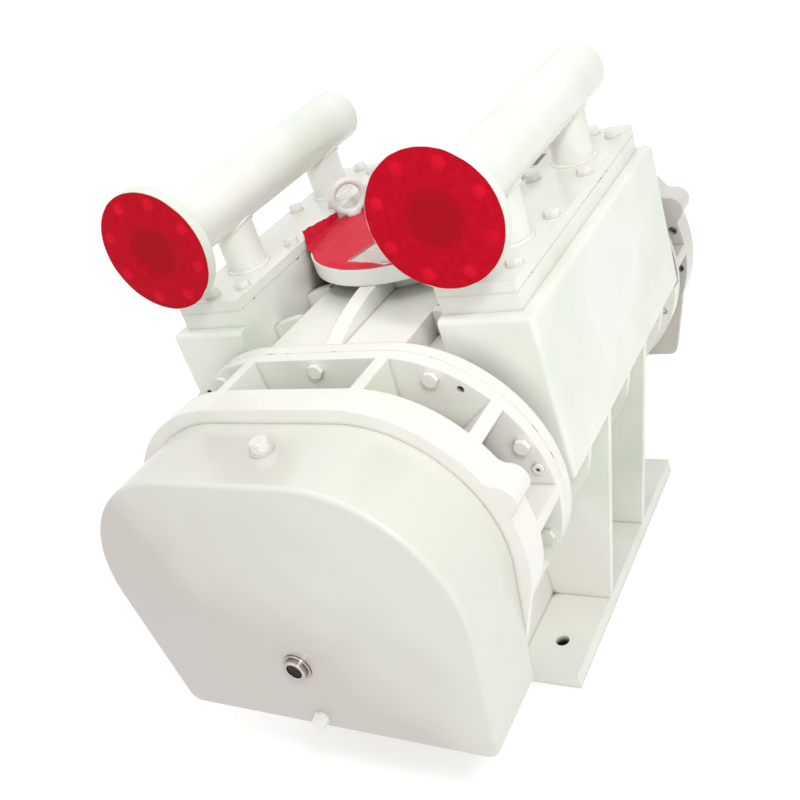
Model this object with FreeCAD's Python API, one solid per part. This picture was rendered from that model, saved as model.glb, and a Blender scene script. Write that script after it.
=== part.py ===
"""Roots blower: two three-lobe rotors in a twin-bore casing, with side air boxes and a gear case.

Millimetres, +Z up. The gear cover faces -Y and the drive shaft leaves towards +Y.
The origin is the centre of the foundation holes, on the underside of the feet.
"""
import FreeCAD
import Part
import math
import os

from FreeCAD import Placement, Rotation, Vector

# Rotors
shaft_spacing = 230.0
shaft_height = 535.0
lobe_count = 3
rotor_radius = 170.0
rotor_gap = 0.4
tip_clearance = 0.5
end_clearance = 0.5
core_hole_radius = 31.0
core_plug_thickness = 16.0
valley_samples = 33

# Shafts
rotor_seat_radius = 45.0
seal_seat_radius = 44.0
seal_journal_radius = 38.0
seal_width = 14.0
seal_case_radius = 64.0
bearing_bore_radius = 40.0
gear_seat_radius = 36.0
coupling_seat_radius = 35.0
coupling_length = 150.0
shaft_end_chamfer = 3.0
key_width = 20.0
key_height = 12.0
key_length = 110.0

# Timing gears
gear_teeth = 46
pressure_angle = 20.0
gear_backlash = 0.3
gear_width = 60.0
gear_web_width = 22.0
gear_hub_radius = 56.0
gear_rim = 16.0
gear_key_width = 20.0
gear_key_height = 12.0
gear_key_length = 50.0
web_hole_radius = 13.0
web_hole_count = 6
locknut_radius = 50.0
locknut_width = 16.0
slinger_radius = 106.0
slinger_gap = 10.0
slinger_thickness = 5.0

# Bearings
bearing_radius = 85.0
bearing_width = 39.0
gear_bearing_depth = 53.0
drive_bearing_depth = 6.0
bearing_ring = 10.5
roller_radius = 11.6
roller_count = 12
running_gap = 0.3
bearing_cap_radius = 100.0
bearing_cap_thickness = 12.0
cap_bolt_radius = 4.0
cap_bolt_circle = 92.5
cap_bolt_count = 6
labyrinth_radius = 58.0
vent_chamber_radius = 66.0

# Casing, from the axis of the inlet port to its gear face and to its drive face
gear_face = 385.0
drive_face = 334.0
casing_wall = 24.0
flange_radius = 250.0
casing_flange = 24.0
hoop_radius = 241.0
hoop_thickness = 18.0
hoop_pitch = 118.0
hoop_rows = (-2, -1, 0, 1, 2)
saddle_width = 278.0
saddle_rise = 237.0
port_wall = 20.0
port_width = 194.0
port_length = 460.0
transfer_slot_height = 50.0
transfer_slot_length = 440.0
transfer_slot_z = 640.0

# Inlet port, DN 250 flange
port_flange_radius = 200.0
port_flange_thickness = 31.0
port_height = 66.0
port_neck_radius = 146.0
port_bore_radius = 125.0
port_throat_radius = 94.0
port_bolt_circle = 175.0
port_bolt_count = 12
port_hole_radius = 11.0
port_rib_width = 34.0
port_rib_start = 185.0
port_rib_bulge = 275.0
port_rib_rise = 25.0

# Eye bolts
eye_angle = 159.5
eye_lean = 44.0
eye_shank_radius = 10.0
eye_collar_radius = 16.0
eye_collar_height = 8.0
eye_ring_height = 40.0
eye_ring_radius = 31.7
eye_ring_section = 7.2

# Air boxes
box_inner = 200.0
box_outer = 364.0
box_bottom = 500.0
box_shoulder = 801.0
box_wall = 15.0
box_edge_radius = 9.0
neck_inset = 25.0
neck_end_inset = 22.0
neck_top = 831.0
neck_rim = 38.0
gasket_thickness = 2.0
plate_thickness = 20.0
plate_bolt_inset = 20.0
plate_bolt_rows = 4
plate_bolt_pitch = 172.0
plate_end_bolt_inset = 24.0
plate_bolt_radius = 8.0

# Air pipes, DN 100
pipe_spacing = 546.0
pipe_height = 985.0
pipe_radius = 54.0
pipe_wall = 4.0
pipe_face_y = -371.0
pipe_end_y = 267.0
pipe_cap_thickness = 6.0
riser_radius = 38.0
riser_wall = 4.0
riser_pitch = 330.0
pipe_flange_radius = 110.0
pipe_flange_thickness = 20.0
pipe_bolt_circle = 90.0
pipe_bolt_count = 8
pipe_hole_radius = 9.0

# Side plates
gear_plate_flange = 24.0
gear_plate_depth = 168.0
drive_plate_flange = 15.0
drive_plate_depth = 136.0
side_ring_thickness = 59.0
skirt_thickness = 18.0
skirt_bottom = 253.0
gear_skirt_drop = 19.0
gear_skirt_lean = 19.0
drive_skirt_drop = 32.0
drive_skirt_lean = 15.0
skirt_corner = 20.0
rib_angles = (86.0, 40.0, 0.0, -40.0, -86.0)
rib_thickness = 24.0
housing_radius = 108.0
housing_web = 120.0
lug_radius = 27.0
lug_angle = 21.4
lug_blend = 20.0
side_bolt_circle = 230.5
small_hole_circle = 234.0
side_bolt_angles = (66.0, 22.0, -23.0, -68.0)
side_bolt_radius = 8.0
hole_clearance = 1.0
jack_hole_angle = 54.0
jack_hole_radius = 6.0
dowel_angle = 10.8
dowel_radius = 9.0
dowel_bore = 3.5
dowel_proud = 6.0

# Gear cover
cover_radius = 226.0
cover_depth = 155.0
cover_wall = 20.0
cover_bottom = 253.0
cover_lean = 7.0
cover_corner = 25.0
cover_edge_radius = 8.0
cover_gasket = 1.0
cover_bolt_inset = 10.0
cover_bolt_depth = 30.0
cover_bolt_radius = 5.0
cover_bolt_angles = (80.0, 48.0, 8.0, -14.0)

# Oil fittings on the gear cover
fitting_x = -10.0
sight_glass_z = 396.0
sight_flange_radius = 25.5
sight_flange_thickness = 4.0
sight_barrel_radius = 20.5
sight_bezel_height = 12.0
sight_hole_radius = 17.0
sight_bore_radius = 13.0
sight_window_radius = 14.5
sight_lens_radius = 16.0
sight_lens_thickness = 6.0
sight_lip = 1.5
drain_z = 277.0
drain_hex = 24.0
drain_thread_radius = 8.0
filler_x = 31.0
filler_y = -624.0
filler_boss_radius = 19.0
filler_boss_height = 4.0
filler_hex = 27.0
filler_thread_radius = 12.0
filler_reach = 20.0
plug_collar = 3.0

# Feet and outlet duct
duct_width = 266.0
duct_end_inset = 4.0
duct_wall = 20.0
foot_outer = 257.0
foot_length = 680.0
foot_thickness = 32.0
foundation_x = 396.0
foundation_y = 512.0
foundation_hole_radius = 13.5
leg_thickness = 20.0
leg_top_x = 352.0

# Worked-out sizes
half_spacing = shaft_spacing / 2
bore_radius = rotor_radius + tip_clearance
body_radius = bore_radius + casing_wall
box_length = 2 * drive_face
duct_length = 2 * (drive_face - duct_end_inset)
saddle_top = shaft_height + saddle_rise
port_top = saddle_top + port_height
gear_plate_front = -gear_face - gear_plate_depth
drive_plate_back = drive_face + drive_plate_depth
gear_ring_back = gear_plate_front + side_ring_thickness
drive_ring_front = drive_plate_back - side_ring_thickness
seal_face = drive_plate_back + bearing_cap_thickness + seal_width
cover_back = gear_plate_front - cover_gasket
cover_front = cover_back - cover_depth + cover_gasket
neck_outer = box_outer - neck_inset
neck_half = box_length / 2 - neck_end_inset
plate_bottom = neck_top + gasket_thickness
plate_top = plate_bottom + plate_thickness
plate_centre = (box_inner + neck_outer) / 2
pipe_x = pipe_spacing / 2
gear_module = shaft_spacing / gear_teeth
slinger_back = gear_plate_front - bearing_cap_thickness - slinger_gap
gear_back = slinger_back - slinger_thickness
gear_front = gear_back - gear_width
sides = {"left": -1, "right": 1}
ends = {"gear": -1, "drive": 1}
casing_faces = {"gear": -gear_face, "drive": drive_face}
plate_flanges = {"gear": gear_plate_flange, "drive": drive_plate_flange}
ring_edges = {"gear": gear_ring_back, "drive": drive_ring_front}
plate_faces = {"gear": gear_plate_front, "drive": drive_plate_back}
skirt_angles = {"gear": (gear_skirt_drop, gear_skirt_lean), "drive": (drive_skirt_drop, drive_skirt_lean)}
casing_span = (-gear_face, drive_face)
rotor_span = (-gear_face + end_clearance, drive_face - end_clearance)


def block(x, y, z):
    """A block between two x, two y and two z values."""
    return Part.makeBox(x[1] - x[0], y[1] - y[0], z[1] - z[0], Vector(x[0], y[0], z[0]))


def mirrored_block(side, x, y, z):
    """A block on one side of the middle plane, given for the right side."""
    if side < 0:
        x = (-x[1], -x[0])
    return block(x, y, z)


def rod(radius, x, z, y):
    """A round bar along Y."""
    return Part.makeCylinder(radius, y[1] - y[0], Vector(x, y[0], z), Vector(0, 1, 0))


def post(radius, x, y, z):
    """A round bar along Z."""
    return Part.makeCylinder(radius, z[1] - z[0], Vector(x, y, z[0]), Vector(0, 0, 1))


def ring(outer, inner, x, z, y):
    """A round ring about an axis along Y."""
    return rod(outer, x, z, y).cut(rod(inner, x, z, y))


def fused(shapes):
    """One clean solid out of pieces that touch."""
    return shapes[0].multiFuse(shapes[1:]).removeSplitter()


def slab(edges, y):
    """A plate from a closed outline drawn in the XZ plane."""
    face = Part.Face(Part.Wire(edges))
    plate = face.extrude(Vector(0, y[1] - y[0], 0))
    plate.translate(Vector(0, y[0], 0))
    return plate


def polar(radius, angle, x=0.0, z=shaft_height):
    """A point of the XZ plane at a distance and an angle in degrees from a centre."""
    turn = math.radians(angle)
    return Vector(x + radius * math.cos(turn), 0, z + radius * math.sin(turn))


def flipped(point):
    """The same point on the other side of the middle plane."""
    return Vector(-point.x, point.y, point.z)


def stadium(radius, y):
    """The outline of two equal circles about the shafts and the flats between them."""
    low = shaft_height - radius
    high = shaft_height + radius
    right_low = Vector(half_spacing, 0, low)
    right_high = Vector(half_spacing, 0, high)
    right_mid = Vector(half_spacing + radius, 0, shaft_height)
    edges = [
        Part.Arc(right_low, right_mid, right_high).toShape(),
        Part.makeLine(right_high, flipped(right_high)),
        Part.Arc(flipped(right_high), flipped(right_mid), flipped(right_low)).toShape(),
        Part.makeLine(flipped(right_low), right_low),
    ]
    return slab(edges, y)


def skirted(radius, bottom, drop, lean, corner, y):
    """Two circles about the shafts whose sides leave at an angle, lean inwards and end in a flat bottom."""
    tilt = math.radians(lean)
    top = Vector(half_spacing, 0, shaft_height + radius)
    tangent = polar(radius, -drop, half_spacing)
    bulge = polar(radius, (90 - drop) / 2, half_spacing)
    upward = Vector(math.sin(tilt), 0, math.cos(tilt))
    inward = Vector(-1, 0, 0)
    meet = tangent - upward * ((tangent.z - bottom) / math.cos(tilt))
    setback = corner / math.tan((math.pi / 2 + tilt) / 2)
    side_end = meet + upward * setback
    floor_end = meet + inward * setback
    centre = Vector(floor_end.x, 0, bottom + corner)
    corner_mid = centre + (meet - centre).normalize() * corner
    edges = [
        Part.Arc(top, bulge, tangent).toShape(),
        Part.makeLine(tangent, side_end),
        Part.Arc(side_end, corner_mid, floor_end).toShape(),
        Part.makeLine(floor_end, flipped(floor_end)),
        Part.Arc(flipped(floor_end), flipped(corner_mid), flipped(side_end)).toShape(),
        Part.makeLine(flipped(side_end), flipped(tangent)),
        Part.Arc(flipped(tangent), flipped(bulge), flipped(top)).toShape(),
        Part.makeLine(flipped(top), top),
    ]
    return slab(edges, y)


def hexagon(across_flats, height, centre, axis):
    """A hexagonal bar on a base point, along an axis, with its outer end chamfered."""
    corner = across_flats / math.sqrt(3)
    points = [Vector(corner * math.cos(k * math.pi / 3), corner * math.sin(k * math.pi / 3), 0)
              for k in range(7)]
    bar = Part.Face(Part.makePolygon(points)).extrude(Vector(0, 0, height))
    cone = Part.makeCone(across_flats / 2 + height * math.sqrt(3), across_flats / 2, height)
    bar = bar.common(cone)
    bar.Placement = Placement(centre, Rotation(Vector(0, 0, 1), axis))
    return bar


def shaft_centres():
    """The x of the driven and of the drive shaft."""
    return {"driven": -half_spacing, "drive": half_spacing}


def side_bolt_points(radius, angles):
    """Points on circles about both shafts, mirrored left and right."""
    points = []
    for angle in angles:
        right = polar(radius, angle, half_spacing)
        points.append(right)
        points.append(flipped(right))
    return points


def plate_bolt_points():
    """The bolts of each side plate: round both circles and at the middle of the top and bottom."""
    middle = [Vector(0, 0, shaft_height + side_bolt_circle), Vector(0, 0, shaft_height - side_bolt_circle)]
    return side_bolt_points(side_bolt_circle, side_bolt_angles) + middle


def cover_bolt_points():
    """The bolts of the gear cover, driven from behind the side plate's ring."""
    circle = cover_radius - cover_bolt_inset
    return side_bolt_points(circle, cover_bolt_angles)


def rotor(x):
    """Conjugate lobes: each tip is a circular arc and each valley is the path that the mate's tip cuts."""
    pitch = half_spacing
    half_lobe = math.pi / (2 * lobe_count)
    tip_centre = (rotor_radius ** 2 - pitch ** 2) / (2 * (rotor_radius - pitch * math.cos(half_lobe)))
    tip_arc = rotor_radius - tip_centre
    own_arc = tip_arc - rotor_gap / 2
    valley_arc = tip_arc + rotor_gap / 2

    def valley_point(turn):
        """The point that the mate's tip touches when the pair has turned by an angle."""
        mate = 2 * pitch * complex(math.cos(turn), -math.sin(turn))
        lobe = math.pi + math.pi / lobe_count - 2 * turn
        tip = mate + tip_centre * complex(math.cos(lobe), math.sin(lobe))
        contact = pitch * complex(math.cos(turn), -math.sin(turn))
        place = tip + valley_arc * (contact - tip) / abs(contact - tip)
        return place.conjugate()

    def placed(point, turn):
        """A profile point turned about the shaft and set at its height."""
        turned = point * complex(math.cos(turn), math.sin(turn))
        return Vector(x + turned.real, 0, shaft_height + turned.imag)

    lobe_pitch = 2 * math.pi / lobe_count
    start = math.pi if lobe_count % 2 else 0.0
    edges = []
    holes = []
    for lobe in range(lobe_count):
        turn = start + lobe * lobe_pitch
        marks = [2.0 * k / (valley_samples - 1) - 1.0 for k in range(valley_samples)]
        steps = [half_lobe + lobe_pitch / 4 * (1 + mark * abs(mark)) for mark in marks]
        valley = [placed(valley_point(step), turn) for step in steps]
        next_start = placed(valley_point(half_lobe).conjugate(), turn)
        tip = placed(complex(tip_centre + own_arc, 0), turn)
        edges.append(Part.Arc(next_start, tip, valley[0]).toShape())
        curve = Part.BSplineCurve()
        curve.interpolate(valley)
        edges.append(curve.toShape())
        holes.append(placed(complex(tip_centre, 0), turn))
    body = slab(edges, rotor_span)
    body = body.cut(rod(rotor_seat_radius, x, shaft_height, rotor_span))
    for hole in holes:
        body = body.cut(rod(core_hole_radius, hole.x, hole.z, rotor_span))
    near = (rotor_span[0], rotor_span[0] + core_plug_thickness)
    far = (rotor_span[1] - core_plug_thickness, rotor_span[1])
    plugs = []
    for hole in holes:
        plugs.append(rod(core_hole_radius, hole.x, hole.z, near))
        plugs.append(rod(core_hole_radius, hole.x, hole.z, far))
    return body, Part.makeCompound(plugs)


def involute_half_angle(radius, base, half_tooth):
    """Half of a tooth's angle at a radius."""
    roll = math.acos(base / radius)
    pitch_roll = math.radians(pressure_angle)
    return half_tooth + math.tan(pitch_roll) - pitch_roll - math.tan(roll) + roll


def timing_gear(x, first_tooth):
    """A spur gear with involute teeth, a web with round holes, and a hub."""
    pitch = half_spacing
    tip = pitch + gear_module
    root = pitch - 1.25 * gear_module
    base = pitch * math.cos(math.radians(pressure_angle))
    half_tooth = math.pi / (2 * gear_teeth) - gear_backlash / (4 * pitch)
    levels = [root, pitch, tip]
    halves = [involute_half_angle(level, base, half_tooth) for level in levels]
    spacing = 2 * math.pi / gear_teeth
    edges = []
    for tooth in range(gear_teeth):
        middle = first_tooth + tooth * spacing
        rising = [polar(level, math.degrees(middle - half), x) for level, half in zip(levels, halves)]
        falling = [polar(level, math.degrees(middle + half), x) for level, half in zip(levels, halves)]
        following = polar(root, math.degrees(middle + spacing - halves[0]), x)
        edges.append(Part.Arc(rising[0], rising[1], rising[2]).toShape())
        edges.append(Part.makeLine(rising[2], falling[2]))
        edges.append(Part.Arc(falling[2], falling[1], falling[0]).toShape())
        edges.append(Part.makeLine(falling[0], following))
    gear = slab(edges, (gear_front, gear_back))
    recess = (gear_width - gear_web_width) / 2
    rim = root - gear_rim
    for span in ((gear_front, gear_front + recess), (gear_back - recess, gear_back)):
        gear = gear.cut(ring(rim, gear_hub_radius, x, shaft_height, span))
    circle = (rim + gear_hub_radius) / 2
    for k in range(web_hole_count):
        spot = polar(circle, 360.0 * k / web_hole_count, x)
        gear = gear.cut(rod(web_hole_radius, spot.x, spot.z, (gear_front, gear_back)))
    gear = gear.cut(rod(gear_seat_radius, x, shaft_height, (gear_front, gear_back)))
    return gear.cut(gear_key(x))


def bearing_spans():
    """Where the two bearings of each shaft lie along Y."""
    front = gear_plate_front + gear_bearing_depth
    back = drive_plate_back - drive_bearing_depth
    return {"gear": (front, front + bearing_width), "drive": (back - bearing_width, back)}


def shaft(x, end):
    """A stepped shaft from the lock nut at the gear end to its drive end."""
    spans = bearing_spans()
    nose = gear_front - locknut_width - 4.0
    steps = [
        (gear_seat_radius, (nose, slinger_back)),
        (bearing_bore_radius, (slinger_back, spans["gear"][1])),
        (seal_seat_radius, (spans["gear"][1], rotor_span[0])),
        (rotor_seat_radius, rotor_span),
        (seal_seat_radius, (rotor_span[1], spans["drive"][0])),
        (bearing_bore_radius, (spans["drive"][0], spans["drive"][1])),
        (seal_journal_radius, (spans["drive"][1], min(end, seal_face))),
    ]
    if end > seal_face:
        steps.append((coupling_seat_radius, (seal_face, end)))
    body = fused([rod(radius, x, shaft_height, span) for radius, span in steps])
    tips = [edge for edge in body.Edges
            if abs(edge.BoundBox.YMin - end) < 0.01 or abs(edge.BoundBox.YMax - nose) < 0.01]
    return body.makeChamfer(shaft_end_chamfer, tips).cut(gear_key(x))


def rollers(x, span):
    """The rolling elements of one bearing, with the running gap at the outer ring."""
    circle = bearing_bore_radius + bearing_ring + roller_radius
    inner_span = (span[0] + 5.0, span[1] - 5.0)
    pieces = []
    for k in range(roller_count):
        spot = polar(circle, 360.0 * k / roller_count, x)
        pieces.append(rod(roller_radius, spot.x, spot.z, inner_span))
    cage_circle = roller_radius * 0.3
    cage = ring(circle + cage_circle, circle - cage_circle, x, shaft_height, inner_span)
    return fused([cage] + pieces)


def side_plate(end):
    """A windowed plate: flange, ribs between open pockets, and the ring that closes the oil side."""
    sign = ends[end]
    inner = casing_faces[end]
    flange_edge = inner + sign * plate_flanges[end]
    outer = plate_faces[end]
    flange_span = sorted((inner, flange_edge))
    pocket_span = sorted((flange_edge, ring_edges[end]))
    ring_span = sorted((ring_edges[end], outer))
    skirt_span = sorted((outer - sign * skirt_thickness, outer))
    outline = stadium(flange_radius, pocket_span)
    lugs = []
    for side in sides.values():
        lug = polar(flange_radius, lug_angle, half_spacing)
        lugs.append(rod(lug_radius, side * lug.x, lug.z, ring_span))
    front = fused([stadium(flange_radius, ring_span)] + lugs)
    front = front.makeFillet(lug_blend, lug_corners(front))
    drop, lean = skirt_angles[end]
    skirt = skirted(flange_radius, skirt_bottom, drop, lean, skirt_corner, skirt_span)
    pieces = [stadium(flange_radius, flange_span), front, skirt]
    for x in shaft_centres().values():
        pieces.append(rod(housing_radius, x, shaft_height, pocket_span))
        for angle in rib_angles:
            rib = block((0, 2 * flange_radius), pocket_span, (-rib_thickness / 2, rib_thickness / 2))
            turn = angle if x > 0 else 180 - angle
            rib.Placement = Placement(Vector(x, 0, shaft_height), Rotation(Vector(0, -1, 0), turn))
            pieces.append(rib.common(outline))
    web = (shaft_height - housing_web / 2, shaft_height + housing_web / 2)
    pieces.append(block((-half_spacing, half_spacing), pocket_span, web))
    body = fused(pieces)
    near, far = bearing_spans()[end]
    shoulder = far if sign < 0 else near
    for x in shaft_centres().values():
        body = body.cut(rod(labyrinth_radius, x, shaft_height, flange_span))
        body = body.cut(rod(vent_chamber_radius, x, shaft_height, sorted((flange_edge, shoulder))))
        body = body.cut(rod(bearing_radius, x, shaft_height, sorted((outer, shoulder))))
    for spot in plate_bolt_points():
        body = body.cut(rod(side_bolt_radius + hole_clearance, spot.x, spot.z, flange_span))
    for spot in side_bolt_points(small_hole_circle, (jack_hole_angle,)):
        body = body.cut(rod(jack_hole_radius, spot.x, spot.z, flange_span))
    return body


def lug_corners(body):
    """The edges along Y where the two lugs meet the round of the ring."""
    found = []
    for edge in body.Edges:
        bounds = edge.BoundBox
        if bounds.XLength > 0.01 or bounds.ZLength > 0.01:
            continue
        lug = polar(flange_radius, lug_angle, half_spacing)
        reach = math.hypot(abs(bounds.XMin) - lug.x, bounds.ZMin - lug.z)
        centre = math.hypot(abs(bounds.XMin) - half_spacing, bounds.ZMin - shaft_height)
        if abs(reach - lug_radius) < 0.1 and abs(centre - flange_radius) < 0.1:
            found.append(edge)
    return found


def gear_side_plate():
    """The deep side plate at the gear end, bored for dowels and for the cover's bolts."""
    body = side_plate("gear")
    seat = (-gear_face - gear_plate_flange, -gear_face)
    for spot in side_bolt_points(small_hole_circle, (dowel_angle,)):
        body = body.cut(rod(dowel_radius, spot.x, spot.z, seat))
    for spot in cover_bolt_points():
        body = body.cut(rod(cover_bolt_radius + hole_clearance, spot.x, spot.z,
                            (gear_plate_front, gear_ring_back)))
    return body


def drive_side_plate():
    """The shallower side plate at the drive end, with two open holes in its ring on each side."""
    body = side_plate("drive")
    for spot in side_bolt_points(small_hole_circle, (dowel_angle, -dowel_angle)):
        body = body.cut(rod(dowel_radius, spot.x, spot.z, (drive_ring_front, drive_plate_back)))
    return body


def casing_envelope(y):
    """The outside of the casing between its flanges."""
    saddle = block((-saddle_width / 2, saddle_width / 2), y, (shaft_height, saddle_top))
    return fused([stadium(body_radius, y), saddle])


def end_flange(end):
    """The casing's flange at one end; at the drive end it stands inside the walls of the air boxes."""
    face = casing_faces[end]
    span = sorted((face, face - ends[end] * casing_flange))
    flange = stadium(flange_radius, span)
    for side in sides.values():
        flange = flange.cut(mirrored_block(side, (box_outer - box_wall, 2 * box_outer), span,
                                           (box_bottom, 2 * box_bottom)))
    return flange if end == "drive" else stadium(flange_radius, span)


def hoop(row):
    """One rib round the casing: above, between saddle and air boxes; below, where no leg web stands."""
    middle = row * hoop_pitch
    span = (middle - hoop_thickness / 2, middle + hoop_thickness / 2)
    rib = stadium(hoop_radius, span)
    for side in sides.values():
        rib = rib.cut(mirrored_block(side, (box_inner, 2 * box_outer), span, (box_bottom, 2 * box_bottom)))
    rib = rib.cut(block((-saddle_width / 2, saddle_width / 2), span, (saddle_top, 2 * saddle_top)))
    if row % 2:
        return rib.cut(block((-2 * box_outer, 2 * box_outer), span, (0, box_bottom)))
    return rib.cut(block((-duct_width / 2, duct_width / 2), span, (0, shaft_height)))


def casing():
    """The cast casing: twin bores, inlet and outlet chambers, end flanges and hoop ribs."""
    pieces = [casing_envelope(casing_span)]
    pieces = pieces + [end_flange(end) for end in ends]
    pieces = pieces + [hoop(row) for row in hoop_rows]
    body = fused(pieces)
    for x in shaft_centres().values():
        body = body.cut(rod(bore_radius, x, shaft_height, casing_span))
    inner = port_width / 2
    port = (-port_length / 2, port_length / 2)
    body = body.cut(block((-inner, inner), port, (shaft_height, saddle_top - port_wall)))
    body = body.cut(block((-inner, inner), port, (0, shaft_height)))
    body = body.cut(post(port_throat_radius, 0, 0, (shaft_height, saddle_top + 1)))
    slot_y = (-transfer_slot_length / 2, transfer_slot_length / 2)
    slot_z = (transfer_slot_z - transfer_slot_height / 2, transfer_slot_z + transfer_slot_height / 2)
    for side in sides.values():
        body = body.cut(mirrored_block(side, (half_spacing, box_outer), slot_y, slot_z))
    for end, sign in ends.items():
        edge = sorted((casing_faces[end], casing_faces[end] - sign * casing_flange))
        for spot in plate_bolt_points():
            body = body.cut(rod(side_bolt_radius, spot.x, spot.z, edge))
    return body


def inlet_port():
    """The flanged neck on top of the casing, with its front and rear ribs."""
    under = port_top - port_flange_thickness
    neck = post(port_neck_radius, 0, 0, (shaft_height, under)).cut(casing_envelope(casing_span))
    for row in hoop_rows:
        neck = neck.cut(hoop(row))
    flange = post(port_flange_radius, 0, 0, (under, port_top))
    pieces = [neck, flange]
    for end, sign in ends.items():
        reach = casing_faces[end] - sign * casing_flange
        rib_bulge = sign * port_rib_bulge * abs(reach) / (gear_face - casing_flange)
        root = sign * port_neck_radius * 0.9
        corners = [Vector(0, root, saddle_top), Vector(0, reach, saddle_top),
                   Vector(0, sign * port_rib_start, under), Vector(0, root, under)]
        edges = [
            Part.makeLine(corners[0], corners[1]),
            Part.Arc(corners[1], Vector(0, rib_bulge, saddle_top + port_rib_rise), corners[2]).toShape(),
            Part.makeLine(corners[2], corners[3]),
            Part.makeLine(corners[3], corners[0]),
        ]
        rib = Part.Face(Part.Wire(edges)).extrude(Vector(port_rib_width, 0, 0))
        rib.translate(Vector(-port_rib_width / 2, 0, 0))
        pieces.append(rib)
    body = fused(pieces)
    body = body.cut(Part.makeCone(port_throat_radius, port_bore_radius, port_top - saddle_top,
                                  Vector(0, 0, saddle_top), Vector(0, 0, 1)))
    for k in range(port_bolt_count):
        spot = polar(port_bolt_circle, 360.0 * k / port_bolt_count, 0, 0)
        body = body.cut(post(port_hole_radius, spot.x, spot.z, (under, port_top)))
    for spot in eye_points():
        body = body.cut(post(eye_shank_radius, spot.x, spot.z, (under, port_top)))
    return body


def eye_points():
    """Where the two lifting eyes stand, between the holes of the inlet flange."""
    return [polar(port_bolt_circle, eye_angle, 0, 0), polar(port_bolt_circle, eye_angle + 180, 0, 0)]


def eye_bolts():
    """Two lifting eyes screwed into the inlet flange."""
    pieces = []
    rise = port_top + eye_ring_height
    facing = Vector(-math.sin(math.radians(eye_lean)), math.cos(math.radians(eye_lean)), 0)
    for spot in eye_points():
        shank = post(eye_shank_radius, spot.x, spot.z, (port_top - port_flange_thickness, port_top))
        collar = post(eye_collar_radius, spot.x, spot.z, (port_top, port_top + eye_collar_height))
        eye = Part.makeTorus(eye_ring_radius, eye_ring_section, Vector(spot.x, spot.z, rise), facing)
        pieces.append(fused([shank, collar, eye]))
    return Part.makeCompound(pieces)


def air_box(side):
    """A cast box beside the casing, with a stepped neck and a rim for its cover plate."""
    half = box_length / 2
    outer = mirrored_block(side, (box_inner, box_outer), (-half, half), (box_bottom, box_shoulder))
    face = side * box_outer
    rounded = []
    for edge in outer.Edges:
        bounds = edge.BoundBox
        on_face = abs(bounds.XMin - face) < 0.01 and abs(bounds.XMax - face) < 0.01
        on_top = abs(bounds.ZMin - box_shoulder) < 0.01
        if on_face or on_top and bounds.XLength > 1:
            rounded.append(edge)
    outer = outer.makeFillet(box_edge_radius, rounded)
    neck = mirrored_block(side, (box_inner, neck_outer), (-neck_half, neck_half),
                          (box_shoulder - box_wall, neck_top))
    body = fused([outer, neck])
    cavity = mirrored_block(side, (box_inner + box_wall, box_outer - box_wall),
                            (-half + box_wall, half - box_wall),
                            (box_bottom + box_wall, box_shoulder - box_wall))
    mouth = mirrored_block(side, (box_inner + neck_rim, neck_outer - neck_rim),
                           (-neck_half + neck_rim, neck_half - neck_rim),
                           (box_bottom + box_wall, neck_top))
    body = body.cut(cavity).cut(mouth)
    body = body.cut(casing_envelope(casing_span)).cut(end_flange("drive"))
    for spot in cover_plate_bolts(side):
        body = body.cut(post(plate_bolt_radius, spot.x, spot.y, (box_shoulder, neck_top)))
    return body


def cover_plate_bolts(side):
    """The bolts of one box cover: two rows and one at the middle of each end."""
    points = []
    rows = (box_inner + plate_bolt_inset, neck_outer - plate_bolt_inset)
    for k in range(plate_bolt_rows):
        y = (k - (plate_bolt_rows - 1) / 2) * plate_bolt_pitch
        for x in rows:
            points.append(Vector(side * x, y, 0))
    for end in (-1, 1):
        points.append(Vector(side * plate_centre, end * (neck_half - plate_end_bolt_inset), 0))
    return points


def riser_points(side):
    """Where the two risers of one pipe stand on the box cover."""
    return [Vector(side * pipe_x, -riser_pitch / 2, 0), Vector(side * pipe_x, riser_pitch / 2, 0)]


def box_gasket(side):
    """The gasket between the box's rim and its cover plate."""
    span = (neck_top, plate_bottom)
    body = mirrored_block(side, (box_inner, neck_outer), (-neck_half, neck_half), span)
    mouth = mirrored_block(side, (box_inner + neck_rim, neck_outer - neck_rim),
                           (-neck_half + neck_rim, neck_half - neck_rim), span)
    body = body.cut(mouth)
    for spot in cover_plate_bolts(side):
        body = body.cut(post(plate_bolt_radius + hole_clearance, spot.x, spot.y, span))
    return body


def box_cover(side):
    """The bolted cover plate of one air box, bored under each riser."""
    span = (plate_bottom, plate_top)
    body = mirrored_block(side, (box_inner, neck_outer), (-neck_half, neck_half), span)
    for spot in cover_plate_bolts(side):
        body = body.cut(post(plate_bolt_radius + hole_clearance, spot.x, spot.y, span))
    for spot in riser_points(side):
        body = body.cut(post(riser_radius - riser_wall, spot.x, spot.y, span))
    return body


def hex_bolt(radius, head_base, axis, reach, washer=0.0):
    """A hexagon bolt: head on its base point, shank reaching the other way, washer if it has one."""
    flats = 3.0 * radius
    head_height = 1.25 * radius
    pieces = [hexagon(flats, head_height, head_base + axis * washer, axis)]
    shank = Part.makeCylinder(radius, reach + washer, head_base + axis * washer, axis * -1)
    pieces.append(shank)
    if washer:
        pieces.append(Part.makeCylinder(1.9 * radius, washer, head_base, axis))
    return fused(pieces)


def box_cover_bolts(side):
    """Washered bolts through one cover plate into the box's rim."""
    reach = plate_top - box_shoulder - 4.0
    bolts = []
    for spot in cover_plate_bolts(side):
        base = Vector(spot.x, spot.y, plate_top)
        bolts.append(hex_bolt(plate_bolt_radius, base, Vector(0, 0, 1), reach, 3.0))
    return Part.makeCompound(bolts)


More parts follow.
